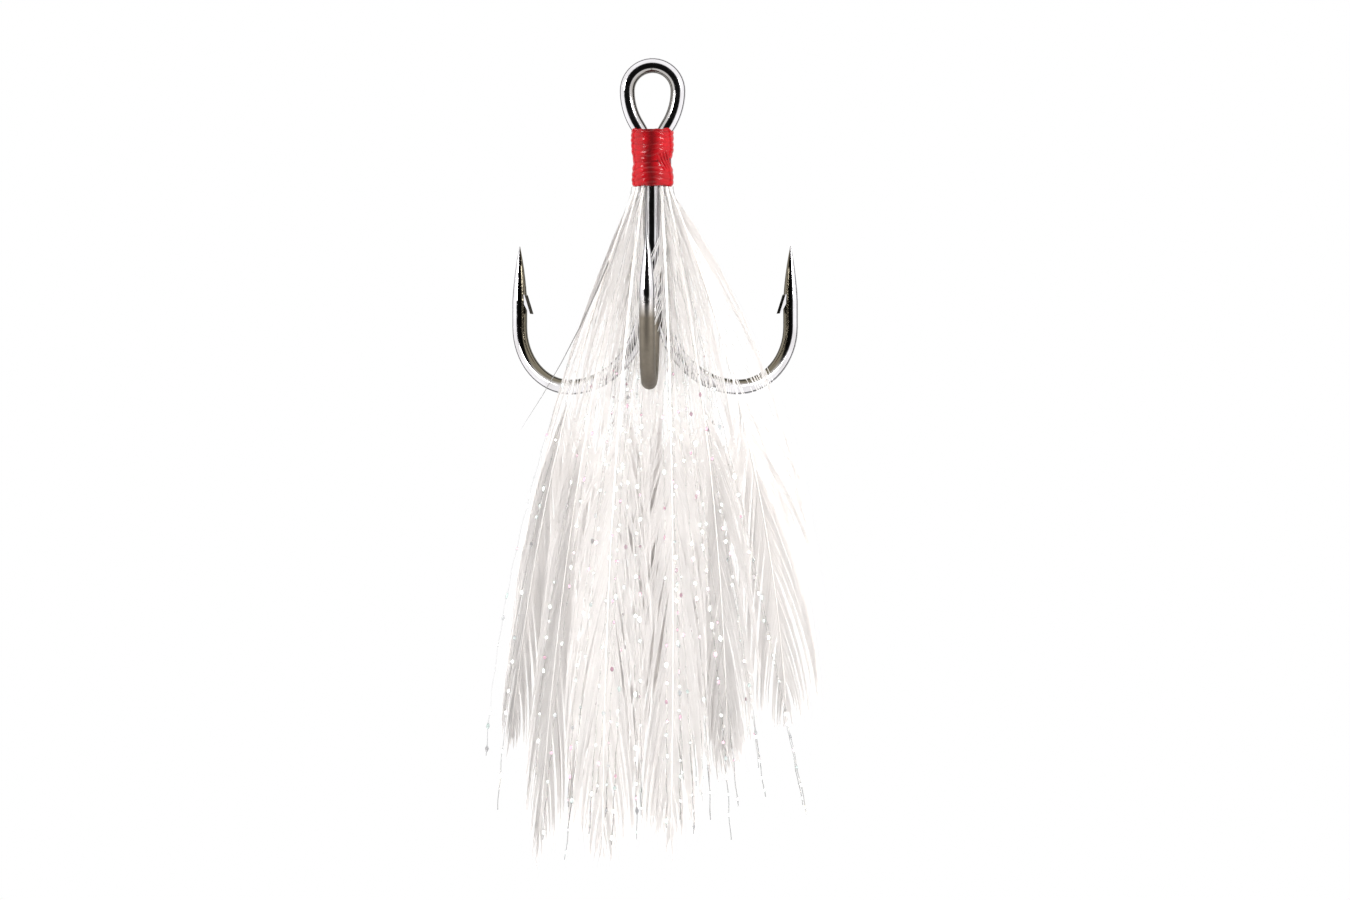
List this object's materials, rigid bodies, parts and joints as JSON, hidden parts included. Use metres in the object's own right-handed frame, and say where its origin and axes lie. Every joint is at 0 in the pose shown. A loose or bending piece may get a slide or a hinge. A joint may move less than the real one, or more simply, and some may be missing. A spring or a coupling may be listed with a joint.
{
  "type": "treble hook",
  "caption": "Treble fish hook with a teardrop line eye, barbed ground points, a red thread binding and a skirt of white hackle feathers with pearl flash.",
  "frame": {"origin": "centre of the round part of the line eye, in the plane of the eye's loop", "axes": "+Z along the shank towards the eye, +Y through the eye, away from the single third hook, +X across the eye"},
  "size_m": [0.0236, 0.0181, 0.0581],
  "materials": {
    "plated_wire": "black nickel plate, mirror bright",
    "braze": "plated over with the wire",
    "thread": "red thread soaked in gloss lacquer",
    "cement": "clear head cement, red from the thread",
    "quill": "ivory white feather stem",
    "vane": "soft white feather barbs, translucent",
    "flash": "clear pearl film, crimped, pink and green glints"
  },
  "bodies": {
    "root": {"double_hook": "plated_wire", "third_hook": "plated_wire", "braze_fillets": "braze", "thread_wrap": "thread", "thread_crossings": "thread", "wrap_cement": "cement", "quill_centre_left": "quill", "vane_centre_left": "vane", "quill_centre_right": "quill", "vane_centre_right": "vane", "quill_inner_left": "quill", "vane_inner_left": "vane", "quill_inner_right": "quill", "vane_inner_right": "vane", "quill_outer_left": "quill", "vane_outer_left": "vane", "quill_outer_right": "quill", "vane_outer_right": "vane", "quill_back_left": "quill", "vane_back_left": "vane", "quill_back_right": "quill", "vane_back_right": "vane", "quill_back_centre": "quill", "vane_back_centre": "vane", "flash_front_left": "flash", "flash_front_right": "flash", "flash_sides": "flash", "flash_back": "flash"}
  },
  "joints": []
}
